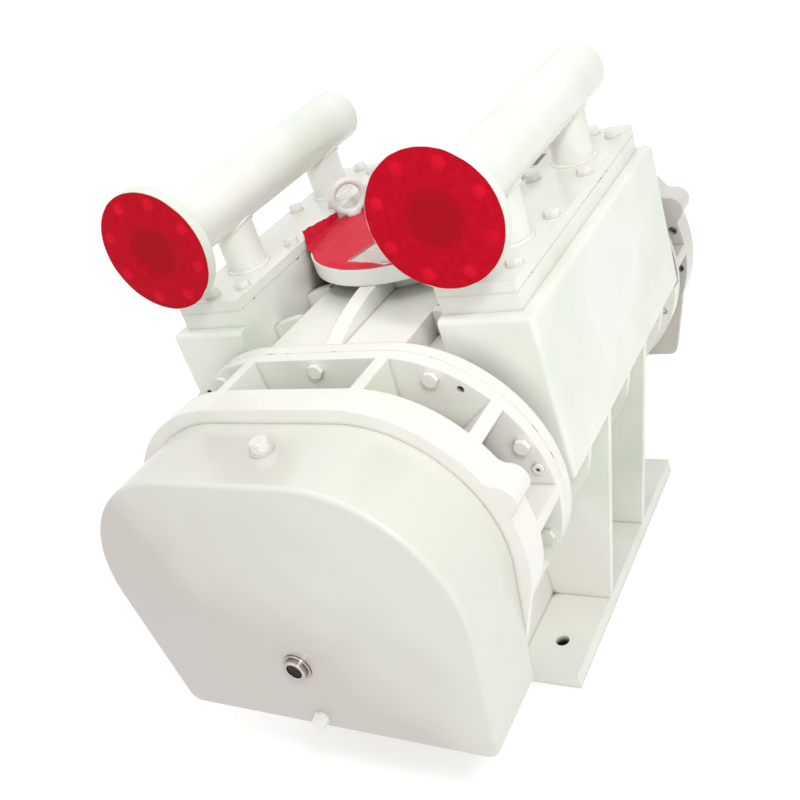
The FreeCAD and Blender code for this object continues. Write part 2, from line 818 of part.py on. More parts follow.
def air_pipe(side):
    """A straight pipe with a closed end, open below into its two risers."""
    span = (pipe_face_y + pipe_flange_thickness, pipe_end_y)
    inner_span = (pipe_face_y + pipe_flange_thickness, pipe_end_y - pipe_cap_thickness)
    outer = rod(pipe_radius, side * pipe_x, pipe_height, span)
    rim = [edge for edge in outer.Edges
           if abs(edge.BoundBox.YMin - pipe_end_y) < 0.01 and abs(edge.BoundBox.YMax - pipe_end_y) < 0.01]
    body = outer.makeFillet(pipe_cap_thickness / 2, rim)
    body = body.cut(rod(pipe_radius - pipe_wall, side * pipe_x, pipe_height, inner_span))
    for spot in riser_points(side):
        body = body.cut(post(riser_radius - riser_wall, spot.x, spot.y, (plate_top, pipe_height)))
    return body


def risers(side):
    """The two tubes that carry one pipe on its box cover, cut to the round of the pipe."""
    pipe = rod(pipe_radius, side * pipe_x, pipe_height, (pipe_face_y, pipe_end_y))
    tubes = []
    for spot in riser_points(side):
        tube = post(riser_radius, spot.x, spot.y, (plate_top, pipe_height)).cut(pipe)
        tubes.append(tube.cut(post(riser_radius - riser_wall, spot.x, spot.y, (plate_top, pipe_height))))
    return Part.makeCompound(tubes)


def pipe_flange(side):
    """The flat flange at the front of one air pipe."""
    span = (pipe_face_y, pipe_face_y + pipe_flange_thickness)
    body = ring(pipe_flange_radius, pipe_radius - pipe_wall, side * pipe_x, pipe_height, span)
    for k in range(pipe_bolt_count):
        angle = 360.0 * (k + 0.5) / pipe_bolt_count
        spot = polar(pipe_bolt_circle, angle, side * pipe_x, pipe_height)
        body = body.cut(rod(pipe_hole_radius, spot.x, spot.z, span))
    return body


def side_plate_bolts(end):
    """The bolts that hold one side plate to the casing, with their heads in the pockets."""
    sign = ends[end]
    axis = Vector(0, sign, 0)
    base_y = casing_faces[end] + sign * plate_flanges[end]
    bolts = []
    for spot in plate_bolt_points():
        base = Vector(spot.x, base_y, spot.z)
        bolts.append(hex_bolt(side_bolt_radius, base, axis, plate_flanges[end] + casing_flange - 4.0))
    return Part.makeCompound(bolts)


def dowel_sleeves():
    """Hollow dowels that place the gear side plate on the casing and stand proud in the pockets."""
    pieces = []
    span = (-gear_face - gear_plate_flange - dowel_proud, -gear_face)
    for spot in side_bolt_points(small_hole_circle, (dowel_angle,)):
        pieces.append(ring(dowel_radius, dowel_bore, spot.x, spot.z, span))
    return Part.makeCompound(pieces)


def gear_cover():
    """The hollow cast cover of the timing gears, with its leaning sides and flat bottom."""
    span = (cover_front, cover_back)
    body = skirted(cover_radius, cover_bottom, cover_lean, cover_lean, cover_corner, span)
    front = [edge for edge in body.Edges
             if abs(edge.BoundBox.YMin - cover_front) < 0.01 and edge.BoundBox.YLength < 0.01]
    body = body.makeFillet(cover_edge_radius, front)
    inner_span = (cover_front + cover_wall, cover_back)
    room = skirted(cover_radius - cover_wall, cover_bottom + cover_wall, cover_lean, cover_lean,
                   cover_corner - cover_wall / 2, inner_span)
    body = body.cut(room)
    boss_base = shaft_height + cover_radius
    boss_top = boss_base + filler_boss_height
    boss = post(filler_boss_radius, filler_x, filler_y, (boss_base - cover_wall / 2, boss_top))
    body = fused([body, boss])
    body = body.cut(post(filler_thread_radius, filler_x, filler_y, (boss_base - cover_wall * 1.5, boss_top)))
    wall_span = (cover_front, cover_front + cover_wall)
    body = body.cut(rod(sight_hole_radius, fitting_x, sight_glass_z, wall_span))
    body = body.cut(rod(drain_thread_radius, fitting_x, drain_z, (cover_front, cover_front + cover_wall)))
    for spot in cover_bolt_points():
        body = body.cut(rod(cover_bolt_radius, spot.x, spot.z, (cover_back - cover_bolt_depth, cover_back)))
    return body


def gear_cover_gasket():
    """The thin gasket behind the gear cover."""
    span = (cover_back, gear_plate_front)
    body = skirted(cover_radius, cover_bottom, cover_lean, cover_lean, cover_corner, span)
    room = skirted(cover_radius - cover_wall, cover_bottom + cover_wall, cover_lean, cover_lean,
                   cover_corner - cover_wall / 2, span)
    body = body.cut(room)
    for spot in cover_bolt_points():
        body = body.cut(rod(cover_bolt_radius + hole_clearance, spot.x, spot.z, span))
    return body


def gear_cover_bolts():
    """Bolts from behind the ring into the gear cover."""
    bolts = []
    reach = side_ring_thickness + cover_gasket + 26.0
    for spot in cover_bolt_points():
        base = Vector(spot.x, gear_ring_back, spot.z)
        bolts.append(hex_bolt(cover_bolt_radius, base, Vector(0, 1, 0), reach))
    return Part.makeCompound(bolts)


def sight_glass_bezel():
    """The plated ring that is screwed into the cover: a flange, a narrower barrel and a lip over the glass."""
    front = cover_front - sight_bezel_height
    shoulder = front + sight_lip + sight_lens_thickness
    flange = rod(sight_flange_radius, fitting_x, sight_glass_z, (cover_front - sight_flange_thickness, cover_front))
    barrel = rod(sight_barrel_radius, fitting_x, sight_glass_z, (front, cover_front))
    sleeve = rod(sight_hole_radius, fitting_x, sight_glass_z, (cover_front, cover_front + cover_wall))
    body = fused([flange, barrel, sleeve])
    body = body.cut(rod(sight_window_radius, fitting_x, sight_glass_z, (front, front + sight_lip)))
    body = body.cut(rod(sight_lens_radius, fitting_x, sight_glass_z, (front + sight_lip, shoulder)))
    body = body.cut(rod(sight_bore_radius, fitting_x, sight_glass_z, (shoulder, cover_front + cover_wall)))
    outer = [edge for edge in body.Edges
             if abs(edge.BoundBox.YMax - front) < 0.01 and edge.BoundBox.XLength > sight_window_radius * 2 + 1]
    body = body.makeFillet(sight_lip, outer)
    rim = [edge for edge in body.Edges
           if abs(edge.BoundBox.YMax - cover_front + sight_flange_thickness) < 0.01
           and edge.BoundBox.XLength > sight_barrel_radius * 2 + 1]
    return body.makeFillet(sight_flange_thickness * 0.4, rim)


def sight_glass_lens():
    """The round glass behind the bezel's lip."""
    start = cover_front - sight_bezel_height + sight_lip
    return rod(sight_lens_radius, fitting_x, sight_glass_z, (start, start + sight_lens_thickness))


def plug(hex_size, thread_radius, collar_radius, base, axis, reach):
    """A hexagon plug with a round collar and a threaded end."""
    collar = Part.makeCylinder(collar_radius, plug_collar, base, axis)
    head = hexagon(hex_size, hex_size / 2, base + axis * plug_collar, axis)
    thread = Part.makeCylinder(thread_radius, reach, base, axis * -1)
    return fused([collar, head, thread])


def drain_plug():
    """The oil drain plug low on the cover's front."""
    base = Vector(fitting_x, cover_front, drain_z)
    return plug(drain_hex, drain_thread_radius, drain_hex * 0.62, base, Vector(0, -1, 0), cover_wall)


def filler_plug():
    """The oil filler plug on top of the cover."""
    base = Vector(filler_x, filler_y, shaft_height + cover_radius + filler_boss_height)
    return plug(filler_hex, filler_thread_radius, filler_hex * 0.58, base, Vector(0, 0, 1), filler_reach)


def outlet_duct():
    """The rectangular outlet duct under the casing, open at the floor."""
    half_x = duct_width / 2
    half_y = duct_length / 2
    body = block((-half_x, half_x), (-half_y, half_y), (0, shaft_height))
    inner = block((-half_x + duct_wall, half_x - duct_wall), (-half_y + duct_wall, half_y - duct_wall),
                  (0, shaft_height))
    return body.cut(inner).cut(casing_envelope(casing_span)).cut(end_flange("drive"))


def foot(side):
    """One foot plate, welded to the duct, with two foundation holes."""
    half = foot_length / 2
    body = mirrored_block(side, (duct_width / 2, foot_outer), (-half, half), (0, foot_thickness))
    for end in (-1, 1):
        body = body.cut(post(foundation_hole_radius, side * foundation_x / 2, end * foundation_y / 2,
                             (0, foot_thickness)))
    return body


def leg_webs(side):
    """Two upright webs from one foot to the casing and the underside of its air box."""
    corners = [
        Vector(side * duct_width / 2, 0, foot_thickness),
        Vector(side * foot_outer, 0, foot_thickness),
        Vector(side * leg_top_x, 0, box_bottom),
        Vector(side * duct_width / 2, 0, box_bottom),
        Vector(side * duct_width / 2, 0, foot_thickness),
    ]
    profile = Part.Face(Part.makePolygon(corners))
    pieces = []
    for end in (-1, 1):
        web = profile.extrude(Vector(0, leg_thickness, 0))
        web.translate(Vector(0, end * hoop_pitch - leg_thickness / 2, 0))
        pieces.append(web.cut(casing_envelope(casing_span)))
    return Part.makeCompound(pieces)


def labyrinth_rings():
    """The fixed seal rings round each shaft beside the rotors."""
    pieces = []
    for x in shaft_centres().values():
        for end, sign in ends.items():
            span = sorted((casing_faces[end], casing_faces[end] + sign * plate_flanges[end]))
            pieces.append(ring(labyrinth_radius, seal_seat_radius + running_gap, x, shaft_height, span))
    return Part.makeCompound(pieces)


def bearing_outer_rings():
    """The four outer bearing rings in the side plates."""
    inner = bearing_bore_radius + bearing_ring + 2 * roller_radius + running_gap
    pieces = []
    for span in bearing_spans().values():
        for x in shaft_centres().values():
            pieces.append(ring(bearing_radius, inner, x, shaft_height, span))
    return Part.makeCompound(pieces)


def bearing_inner_rings(x):
    """The two inner bearing rings on one shaft."""
    pieces = []
    for span in bearing_spans().values():
        pieces.append(ring(bearing_bore_radius + bearing_ring, bearing_bore_radius, x, shaft_height, span))
    return Part.makeCompound(pieces)


def bearing_rollers(x):
    """The rollers and cages of both bearings on one shaft."""
    return Part.makeCompound([rollers(x, span) for span in bearing_spans().values()])


def cap_bolt_points(x):
    """The bolt circle of one bearing cap."""
    return [polar(cap_bolt_circle, 360.0 * (k + 0.5) / cap_bolt_count, x) for k in range(cap_bolt_count)]


def bearing_cap(x, end, open_radius):
    """A flanged cap with a spigot that holds the outer ring; open round the shaft if it passes."""
    if end == "gear":
        face = gear_plate_front
        plate = (face - bearing_cap_thickness, face)
        spigot = (face, bearing_spans()["gear"][0])
    else:
        face = drive_plate_back
        plate = (face, face + bearing_cap_thickness)
        spigot = (bearing_spans()["drive"][1], face)
    cap = rod(bearing_cap_radius, x, shaft_height, plate)
    collar = ring(bearing_radius, bearing_radius - bearing_ring, x, shaft_height, spigot)
    body = fused([cap, collar])
    if open_radius:
        body = body.cut(rod(open_radius, x, shaft_height, plate))
    for spot in cap_bolt_points(x):
        body = body.cut(rod(cap_bolt_radius, spot.x, spot.z, plate))
    return body


def cap_bolts():
    """The small bolts of the four bearing caps."""
    bolts = []
    for end, sign in ends.items():
        face = plate_faces[end] + sign * bearing_cap_thickness
        for x in shaft_centres().values():
            for spot in cap_bolt_points(x):
                base = Vector(spot.x, face, spot.z)
                bolts.append(hex_bolt(cap_bolt_radius, base, Vector(0, sign, 0), bearing_cap_thickness))
    return Part.makeCompound(bolts)


def shaft_seal():
    """The lip seal round the drive shaft, in front of its cap."""
    span = (seal_face - seal_width, seal_face)
    return ring(seal_case_radius, seal_journal_radius + running_gap, half_spacing, shaft_height, span)


def oil_slinger(x):
    """The disc that throws oil up to the gears and the bearings."""
    disc = ring(slinger_radius, gear_seat_radius, x, shaft_height, (gear_back, slinger_back))
    return disc


def gear_key(x):
    """The key between a shaft and its timing gear."""
    middle = (gear_front + gear_back) / 2
    top = shaft_height + gear_seat_radius + gear_key_height * 0.4
    return block((x - gear_key_width / 2, x + gear_key_width / 2),
                 (middle - gear_key_length / 2, middle + gear_key_length / 2), (top - gear_key_height, top))


def locknut(x):
    """The slotted round nut that holds the timing gear."""
    span = (gear_front - locknut_width, gear_front)
    nut = ring(locknut_radius, gear_seat_radius, x, shaft_height, span)
    for k in range(4):
        notch = block((locknut_radius - 5.0, locknut_radius + 5.0), span, (-5.0, 5.0))
        notch.Placement = Placement(Vector(x, 0, shaft_height), Rotation(Vector(0, -1, 0), 90.0 * k + 45.0))
        nut = nut.cut(notch)
    return nut


def coupling_keyway():
    """The slot for the coupling's key in the end of the drive shaft."""
    end = drive_plate_back + coupling_length - 8.0
    top = shaft_height + coupling_seat_radius + key_height * 0.4
    return block((half_spacing - key_width / 2, half_spacing + key_width / 2),
                 (end - key_length, end), (top - key_height, top))


def build():
    """Every sub-part by name."""
    parts = {"casing": casing(), "inlet_port": inlet_port(), "eye_bolts": eye_bolts(),
             "outlet_duct": outlet_duct(), "gear_side_plate": gear_side_plate(),
             "drive_side_plate": drive_side_plate(), "gear_side_bolts": side_plate_bolts("gear"),
             "drive_side_bolts": side_plate_bolts("drive"), "dowel_sleeves": dowel_sleeves(),
             "gear_cover": gear_cover(), "gear_cover_gasket": gear_cover_gasket(),
             "gear_cover_bolts": gear_cover_bolts(), "sight_glass_bezel": sight_glass_bezel(),
             "sight_glass_lens": sight_glass_lens(), "drain_plug": drain_plug(),
             "filler_plug": filler_plug(), "labyrinth_rings": labyrinth_rings(),
             "shaft_seal": shaft_seal(), "bearing_outer_rings": bearing_outer_rings(),
             "bearing_cap_bolts": cap_bolts()}
    for name, side in sides.items():
        parts[name + "_air_box"] = air_box(side)
        parts[name + "_box_gasket"] = box_gasket(side)
        parts[name + "_box_cover"] = box_cover(side)
        parts[name + "_cover_bolts"] = box_cover_bolts(side)
        parts[name + "_air_pipe"] = air_pipe(side)
        parts[name + "_risers"] = risers(side)
        parts[name + "_pipe_flange"] = pipe_flange(side)
        parts[name + "_foot"] = foot(side)
        parts[name + "_leg_webs"] = leg_webs(side)
    for name, x in shaft_centres().items():
        end = drive_plate_back + coupling_length if name == "drive" else drive_plate_back - 1.0
        body = shaft(x, end)
        first_tooth = math.pi if name == "drive" else math.pi / gear_teeth
        open_end = seal_journal_radius + running_gap if name == "drive" else 0
        parts[name + "_shaft"] = body.cut(coupling_keyway()) if name == "drive" else body
        parts[name + "_gear_key"] = gear_key(x)
        parts[name + "_rotor"], parts[name + "_rotor_plugs"] = rotor(x)
        parts[name + "_timing_gear"] = timing_gear(x, first_tooth)
        parts[name + "_locknut"] = locknut(x)
        parts[name + "_oil_slinger"] = oil_slinger(x)
        parts[name + "_inner_rings"] = bearing_inner_rings(x)
        parts[name + "_rollers"] = bearing_rollers(x)
        parts[name + "_gear_end_cap"] = bearing_cap(x, "gear", bearing_bore_radius + running_gap)
        parts[name + "_drive_end_cap"] = bearing_cap(x, "drive", open_end)
    return parts


os.makedirs("parts", exist_ok=True)
for part_name, part_shape in build().items():
    part_shape.exportStep("parts/" + part_name + ".step")
    print(part_name, len(part_shape.Solids), part_shape.isValid(), round(part_shape.Volume / 1000))
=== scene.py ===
"""Looks of the roots blower: enamel, weld beads, protective film, floor, light and camera."""

import math

import bmesh
import bpy
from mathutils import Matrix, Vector, noise


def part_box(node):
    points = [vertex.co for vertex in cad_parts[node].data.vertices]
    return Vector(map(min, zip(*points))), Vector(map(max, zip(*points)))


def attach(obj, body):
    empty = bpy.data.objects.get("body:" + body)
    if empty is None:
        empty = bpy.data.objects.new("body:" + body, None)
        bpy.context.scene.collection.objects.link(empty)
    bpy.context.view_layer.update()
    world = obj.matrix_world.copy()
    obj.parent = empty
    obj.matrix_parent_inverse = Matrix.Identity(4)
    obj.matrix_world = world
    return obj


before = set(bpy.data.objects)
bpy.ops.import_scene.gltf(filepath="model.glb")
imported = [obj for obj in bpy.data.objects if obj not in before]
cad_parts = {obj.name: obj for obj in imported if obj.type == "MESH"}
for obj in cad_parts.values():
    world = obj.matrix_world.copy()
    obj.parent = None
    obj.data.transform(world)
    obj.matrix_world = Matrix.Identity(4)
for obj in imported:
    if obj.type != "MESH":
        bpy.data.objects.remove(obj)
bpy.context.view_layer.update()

millimetre = 0.001
housing = "housing"


# Places taken from the frame, in metres

casing_low, casing_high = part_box("casing")
flange_low, flange_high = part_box("right_pipe_flange")
risers_low, risers_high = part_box("right_risers")
port_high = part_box("inlet_port")[1]
glass_low, glass_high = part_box("sight_glass_lens")

pipe_x = (flange_low.x + flange_high.x) / 2
pipe_z = (flange_low.z + flange_high.z) / 2
pipe_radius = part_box("right_air_pipe")[1].z - pipe_z
riser_radius = risers_high.x - pipe_x
riser_y = -risers_low.y - riser_radius
box_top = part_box("right_box_cover")[1].z


# Colours and shader nodes

def linear(hexadecimal):
    """An sRGB hex colour as linear red, green, blue and alpha."""
    shares = [int(hexadecimal[i:i + 2], 16) / 255 for i in (1, 3, 5)]
    return tuple(s / 12.92 if s <= 0.04045 else ((s + 0.055) / 1.055) ** 2.4 for s in shares) + (1.0,)


def fill(tree, node, sockets):
    """Fills a node's sockets with values or with other nodes' outputs."""
    for name, value in sockets.items():
        if isinstance(value, bpy.types.NodeSocket):
            tree.links.new(value, node.inputs[name])
        else:
            node.inputs[name].default_value = value


def add(tree, kind, output, sockets=None, stops=(), **settings):
    """Adds a node with its settings and sockets, and gives the output that is asked for.

    stops are the (place, hex colour) pairs of a node that holds a colour ramp.
    """
    made = tree.nodes.new(kind)
    for name, value in settings.items():
        setattr(made, name, value)
    fill(tree, made, sockets or {})
    if stops:
        elements = made.color_ramp.elements
        while len(elements) < len(stops):
            elements.new(0.5)
        for element, (spot, colour) in zip(elements, stops):
            element.position = spot
            element.color = linear(colour)
    return made.outputs[output]


def start(name):
    """A new material, with its node tree, its surface shader and the place on the piece in metres."""
    material = bpy.data.materials.new(name)
    material.use_nodes = True
    tree = material.node_tree
    return material, tree, tree.nodes["Principled BSDF"], add(tree, "ShaderNodeTexCoord", "Object")


def hollow_grime_and_shade(tree, tone, reach, stops, samples=6):
    """A tone darkened by painted shade where surfaces within reach metres close it in; in corners the colour
    stands for grime as well.
    """
    closeness = add(tree, "ShaderNodeAmbientOcclusion", "AO", {"Distance": reach}, samples=samples)
    grime_and_shade = add(tree, "ShaderNodeValToRGB", "Color", {"Fac": closeness}, stops)
    return add(tree, "ShaderNodeMixRGB", "Color", {"Fac": 1.0, "Color1": tone, "Color2": grime_and_shade},
               blend_type="MULTIPLY")


def relief(tree, layers, rounding=0.0):
    """Layers of (height, depth in metres), one over another, on edges rounded by that many metres."""
    normal = add(tree, "ShaderNodeBevel", "Normal", {"Radius": rounding}, samples=6) if rounding else None
    for height, depth in layers:
        sockets = {"Height": height, "Distance": depth}
        if normal is not None:
            sockets["Normal"] = normal
        normal = add(tree, "ShaderNodeBump", "Normal", sockets)
    return normal


# Enamel

clean = "#FFFFFF"
bare_iron = "#5E5A52"
corner_reach = 0.014
pocket_reach = 0.16
hole_reach = 0.03
# Painted shade deep in pockets
pocket_shade = [(0.02, "#4A4340"), (0.07, "#C8C1BC"), (0.13, clean)]
patch_size = 0.26
break_size = 0.03
crack_width = 0.0014
sag_size = 0.09
sag_depth = 0.0012
peel_size = 0.004
peel_depth = 0.00008


def enamel(name, tones, corner_grime_and_shade, roughness, grain, rounding, seams=(), holes=None, painted_reflection=None):
    """Glossy off-white machine enamel, with grime and painted shade in its corners and painted shade in its
    deep pockets.

    tones are the shaded, plain and blushed colours between which the paint changes slowly. grain is the
    (size, depth) of the surface under it and rounding the radius of its edges, in metres. seams are the
    places along Y where two castings meet and the paint has cracked, and holes is the colour of painted
    shade on the walls of drilled holes. The colour given after the tones is grime and painted shade in
    the corners. A painted reflection may be given as (slope, value at the origin) of a tone that grows for
    each metre along X, Y and Z, over patches half as strong.
    """
    material, tree, shader, place = start(name)
    shaded, plain, blushed = tones
    patches, under, peel, sag = [
        add(tree, "ShaderNodeTexNoise", "Fac", {"Vector": place, "Scale": 1 / size, "Detail": detail})
        for size, detail in ((patch_size, 2.0), (grain[0], 4.0), (peel_size, 1.0), (sag_size, 1.0))]
    # A painted reflection: the tone shifts steadily across the piece
    if painted_reflection:
        slope, at_origin = painted_reflection
        way = add(tree, "ShaderNodeVectorMath", "Value", {0: place, 1: slope}, operation="DOT_PRODUCT")
        mixed = add(tree, "ShaderNodeMath", "Value", {0: patches, 1: 0.5, 2: way}, operation="MULTIPLY_ADD")
        patches = add(tree, "ShaderNodeMath", "Value", {0: mixed, 1: at_origin}, operation="ADD")
    tone = add(tree, "ShaderNodeValToRGB", "Color", {"Fac": patches},
               [(0.34, shaded), (0.5, plain), (0.66, blushed)])
    # Grime and painted shade in corners
    tone = hollow_grime_and_shade(tree, tone, corner_reach, [(0.16, corner_grime_and_shade), (0.60, clean)])
    # Painted shade deep in pockets and under overhangs
    tone = hollow_grime_and_shade(tree, tone, pocket_reach, pocket_shade, samples=16)
    # Painted shade on the walls of holes
    if holes:
        tone = hollow_grime_and_shade(tree, tone, hole_reach, [(0.22, holes), (0.46, clean)], samples=12)
    if seams:
        along = add(tree, "ShaderNodeSeparateXYZ", "Y", {"Vector": place})
        breaks = add(tree, "ShaderNodeTexNoise", "Fac",
                     {"Vector": place, "Scale": 1 / break_size, "Detail": 4.0})
        broken = add(tree, "ShaderNodeMapRange", "Result",
                     {"Value": breaks, "From Min": 0.6, "From Max": 0.64})
    for seam in seams:
        near = add(tree, "ShaderNodeMath", "Value", {0: along, 1: seam, 2: crack_width / 2},
                   operation="COMPARE")
        crack = add(tree, "ShaderNodeMath", "Value", {0: near, 1: broken}, operation="MULTIPLY")
        tone = add(tree, "ShaderNodeMixRGB", "Color",
                   {"Fac": crack, "Color1": tone, "Color2": linear(bare_iron)})
    layers = [(sag, sag_depth), (under, grain[1]), (peel, peel_depth)]
    fill(tree, shader, {"Base Color": tone, "Normal": relief(tree, layers, rounding), "Roughness": roughness,
                        "IOR": 1.5, "Coat Weight": 0.35, "Coat Roughness": 0.12})
    return material


plate_tones = ("#E3EADC", "#F1F2EB", "#EFECE6")
# Two-pack enamel, brushed and sprayed over smooth welded plate and turned faces: glossy, with slow sags
plate_enamel = enamel("ivory_enamel_on_plate", plate_tones, "#B9B2A8", 0.22, (0.03, 0.0002), 0.0022)
# The same enamel on the feet, whose drilled foundation holes are painted nearly black inside as shade
foot_enamel = enamel("ivory_enamel_on_feet", plate_tones, "#B9B2A8", 0.22, (0.03, 0.0002), 0.0022,
                     holes="#0D0B0A")
# The same enamel on the gear cover, painted greyer as shade, and darker and warmer low on the left as a
# painted reflection
cover_enamel = enamel("ivory_enamel_on_gear_cover", ("#DCDDD2", "#D4D2CB", "#C8C1BC"), "#B3ABA1", 0.24,
                      (0.02, 0.0003), 0.003, painted_reflection=((-0.9, 0.0, -0.75), 0.70))
# The same enamel over sand-cast iron: the grain of the mould shows as fine pimples under the gloss
casting_enamel = enamel("ivory_enamel_on_castings", ("#E7EBDF", "#F2F1EB", "#EFEAE5"), "#A39B91", 0.27,
                        (0.007, 0.0005), 0.0035, seams=(casing_low.y, casing_high.y))
# The same enamel on the castings of the drive end, painted greyer and darker as shade
shaded_drive_end_enamel = enamel("ivory_enamel_on_drive_end", ("#CFCBC3", "#D7D2CB", "#D3CDC6"), "#857C73", 0.27,
                          (0.007, 0.0005), 0.0035)
# Enamel laid thickly over bolts and washers, which fills their corners
fastener_enamel = enamel("ivory_enamel_on_bolts", ("#E8E8DF", "#F0EFE9", "#EFEAE6"), "#9E968B", 0.25,
                         (0.006, 0.0004), 0.0016)
# Enamel over a hand-laid weld bead, whose ripples keep it from lying flat
weld_enamel = enamel("ivory_enamel_on_welds", ("#E9E9E0", "#F1F0EA", "#F0ECE8"), "#A79F95", 0.26,
                     (0.004, 0.0004), 0.0004)
# Forged steel eye in a thin grey-pink primer, duller than the enamel
eye_primer = enamel("pale_primer_on_forged_steel", ("#DAD2D0", "#E9E4E1", "#E6DEDC"), "#9A908D", 0.40,
                    (0.004, 0.0003), 0.001)


# Bare metal

metal_edge = 0.0006
metal_corner_reach = 0.006
stain_size = 0.05


def metal(name, pale, dark, roughness, lay, depth, corner_shade=None):
    """Bare metal. lay is (size, stretch) of the marks that its making left, depth their height in metres.

    The colour given last is painted shade in its corners.
    """
    material, tree, shader, place = start(name)
    size, stretch = lay
    drawn_out = add(tree, "ShaderNodeMapping", "Vector", {"Vector": place, "Scale": stretch})
    marks = add(tree, "ShaderNodeTexNoise", "Fac", {"Vector": drawn_out, "Scale": 1 / size, "Detail": 3.0})
    patches = add(tree, "ShaderNodeTexNoise", "Fac", {"Vector": place, "Scale": 1 / stain_size, "Detail": 3.0})
    tone = add(tree, "ShaderNodeValToRGB", "Color", {"Fac": patches}, [(0.32, dark), (0.66, pale)])
    # Painted shade in the corners
    if corner_shade:
        tone = hollow_grime_and_shade(tree, tone, metal_corner_reach, [(0.35, corner_shade), (0.75, clean)])
    worn = add(tree, "ShaderNodeMapRange", "Result",
               {"Value": marks, "To Min": roughness * 0.8, "To Max": roughness * 1.25})
    fill(tree, shader, {"Base Color": tone, "Normal": relief(tree, [(marks, depth)], metal_edge),
                        "Roughness": worn, "Metallic": 1.0})
    return material


# Ground shaft steel with a film of oil: fine rings round the axis
ground_steel = metal("oiled_ground_steel", "#B9BCC0", "#8F9297", 0.24, (0.0012, (0.15, 1.0, 0.15)), 0.00002)
# Hardened bearing steel, lapped nearly to a mirror
bearing_steel = metal("lapped_bearing_steel", "#CDD0D4", "#B2B6BB", 0.12, (0.001, (0.2, 1.0, 0.2)), 0.00001)
# Machined ductile iron, darker, with tool marks along the lobes
machined_iron = metal("machined_ductile_iron", "#8A8B8C", "#6A6B6C", 0.38, (0.0016, (1.0, 0.1, 1.0)), 0.00004)
# Nickel plate on the ring of the sight glass, bright, with painted shade in its corners
plated_steel = metal("nickel_plate", "#C9C2BB", "#8C847D", 0.2, (0.0015, (1.0, 1.0, 1.0)), 0.00002, "#2A2422")


# Fibre, rubber, glass, film and board

def fibre_gasket():
    """Pressed fibre sheet, painted over: off-white, with dark chips where the paint broke along the joint."""
    material, tree, shader, place = start("pressed_fibre_gasket")
    chips = add(tree, "ShaderNodeTexNoise", "Fac", {"Vector": place, "Scale": 1 / 0.012, "Detail": 4.0})
    tone = add(tree, "ShaderNodeValToRGB", "Color", {"Fac": chips},
               [(0.31, "#3F3B35"), (0.35, "#8A847A"), (0.39, "#E4E2DB")])
    fill(tree, shader, {"Base Color": tone, "Normal": relief(tree, [(chips, 0.0004)]), "Roughness": 0.75})
    return material


def seal_rubber():
    """Moulded nitrile rubber: near black, satin, with a fine moulded grain."""
    material, tree, shader, place = start("moulded_nitrile_rubber")
    grain = add(tree, "ShaderNodeTexNoise", "Fac", {"Vector": place, "Scale": 1 / 0.0012, "Detail": 2.0})
    tone = add(tree, "ShaderNodeValToRGB", "Color", {"Fac": grain}, [(0.3, "#1B1B1C"), (0.7, "#2B2A2A")])
    fill(tree, shader, {"Base Color": tone, "Normal": relief(tree, [(grain, 0.0001)]), "Roughness": 0.55})
    return material


def oily_glass():
    """Thick glass of the oil gauge with brown-red oil behind it, darkest below: a deep, wet gloss."""
    material, tree, shader, place = start("sight_glass_with_oil")
    oil_foot = glass_low.z + 5 * millimetre
    oil_head = glass_high.z - 4 * millimetre
    level = add(tree, "ShaderNodeSeparateXYZ", "Z", {"Vector": place})
    height = add(tree, "ShaderNodeMapRange", "Result",
                 {"Value": level, "From Min": oil_foot, "From Max": oil_head})
    cloud = add(tree, "ShaderNodeTexNoise", "Fac", {"Vector": place, "Scale": 1 / 0.01, "Detail": 2.0})
    murk = add(tree, "ShaderNodeMath", "Value", {0: height, 1: cloud}, operation="MULTIPLY")
    tone = add(tree, "ShaderNodeValToRGB", "Color", {"Fac": murk},
               [(0.15, "#160605"), (0.35, "#2B0C0A"), (0.55, "#4A1D1A")])
    fill(tree, shader, {"Base Color": tone, "Normal": relief(tree, [(cloud, 0.0001)]), "Roughness": 0.08,
                        "IOR": 1.52, "Specular IOR Level": 0.08})
    return material


film_shade = "#8C7F7D"


def protective_film(name, deep, bright, shine, roughness, bore=None):
    """Red polyethylene film stuck on a machined face, finely creased.

    bore is (radius, colour) of the open bore under it, over which its red is painted darker, as shade. The
    film is a brighter red where it is stretched over a bolt hole and white where it was torn. It looks greyer
    to the enamel beside it than to the eye, so it tints that only a little.
    """
    material, tree, shader, place = start(name)
    creases, fine = [
        add(tree, "ShaderNodeTexNoise", "Fac", {"Vector": place, "Scale": 1 / size, "Detail": detail})
        for size, detail in ((0.011, 3.0), (0.0022, 2.0))]
    tone = add(tree, "ShaderNodeValToRGB", "Color", {"Fac": creases}, [(0.35, deep), (0.65, bright)])
    # Painted shade over the open bore
    if bore:
        radius, bore_shade = bore
        flat = add(tree, "ShaderNodeVectorMath", "Vector", {0: place, 1: (1.0, 0.0, 1.0)},
                   operation="MULTIPLY")
        reach = add(tree, "ShaderNodeVectorMath", "Value", {0: flat}, operation="LENGTH")
        edge = add(tree, "ShaderNodeMapRange", "Result",
                   {"Value": reach, "From Min": radius - 0.018, "From Max": radius + 0.004})
        tone = add(tree, "ShaderNodeMixRGB", "Color",
                   {"Fac": edge, "Color1": linear(bore_shade), "Color2": tone})
    for attribute, colour in (("stretched", "#E0142F"), ("whitened", "#F3E3E2")):
        share = add(tree, "ShaderNodeAttribute", "Fac", attribute_name=attribute)
        tone = add(tree, "ShaderNodeMixRGB", "Color",
                   {"Fac": share, "Color1": tone, "Color2": linear(colour)})
    looked_at = add(tree, "ShaderNodeLightPath", "Is Camera Ray")
    greyed = add(tree, "ShaderNodeMapRange", "Result", {"Value": looked_at, "To Min": 0.8, "To Max": 0.0})
    tone = add(tree, "ShaderNodeMixRGB", "Color",
               {"Fac": greyed, "Color1": tone, "Color2": linear(film_shade)})
    fill(tree, shader, {"Base Color": tone, "Normal": relief(tree, [(creases, 0.0005), (fine, 0.0001)]),
                        "Roughness": roughness, "IOR": 1.51, "Specular IOR Level": shine})
    return material


